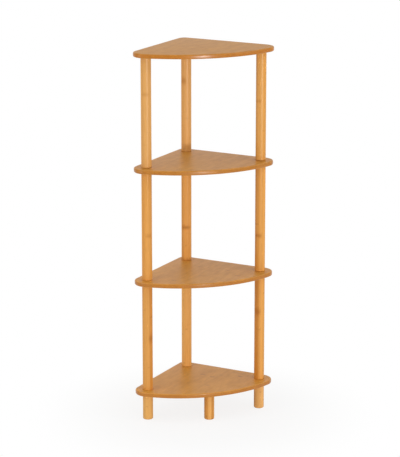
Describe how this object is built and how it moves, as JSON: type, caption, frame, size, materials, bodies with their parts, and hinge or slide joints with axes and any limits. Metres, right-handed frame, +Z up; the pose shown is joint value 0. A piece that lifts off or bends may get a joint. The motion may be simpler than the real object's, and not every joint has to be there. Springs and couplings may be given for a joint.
{
  "type": "bamboo corner shelf",
  "caption": "Free-standing quarter-round corner shelf in lacquered bamboo, with round-edged boards on round posts and short round feet, screwed end to end.",
  "frame": {"origin": "on the floor, below the middle of the unit's bounding box", "axes": "+Z up; the straight wall edges face -X and +Y, with the back corner at low X and high Y; the curved front faces +X and -Y"},
  "size_m": [0.32, 0.32, 1.1],
  "materials": {
    "board_bamboo": "laminated bamboo strips under satin clear lacquer",
    "post_bamboo": "turned solid bamboo under satin clear lacquer",
    "stud_steel": "zinc-plated",
    "insert_brass": "machined"
  },
  "bodies": {
    "root": {"bottom_shelf": "board_bamboo", "lower_shelf": "board_bamboo", "upper_shelf": "board_bamboo", "top_shelf": "board_bamboo", "left_post_lower": "post_bamboo", "left_post_middle": "post_bamboo", "left_post_upper": "post_bamboo", "back_post_lower": "post_bamboo", "back_post_middle": "post_bamboo", "back_post_upper": "post_bamboo", "right_post_lower": "post_bamboo", "right_post_middle": "post_bamboo", "right_post_upper": "post_bamboo", "left_foot": "post_bamboo", "back_foot": "post_bamboo", "right_foot": "post_bamboo", "front_foot": "post_bamboo", "left_post_lower_stud": "stud_steel", "left_post_middle_stud": "stud_steel", "left_post_upper_stud": "stud_steel", "back_post_lower_stud": "stud_steel", "back_post_middle_stud": "stud_steel", "back_post_upper_stud": "stud_steel", "right_post_lower_stud": "stud_steel", "right_post_middle_stud": "stud_steel", "right_post_upper_stud": "stud_steel", "left_foot_stud": "stud_steel", "back_foot_stud": "stud_steel", "right_foot_stud": "stud_steel", "front_foot_stud": "stud_steel", "left_post_lower_insert": "insert_brass", "left_post_middle_insert": "insert_brass", "left_post_upper_insert": "insert_brass", "back_post_lower_insert": "insert_brass", "back_post_middle_insert": "insert_brass", "back_post_upper_insert": "insert_brass", "right_post_lower_insert": "insert_brass", "right_post_middle_insert": "insert_brass", "right_post_upper_insert": "insert_brass", "top_shelf_left_insert": "insert_brass", "top_shelf_back_insert": "insert_brass", "top_shelf_right_insert": "insert_brass", "bottom_shelf_front_insert": "insert_brass"}
  },
  "joints": []
}
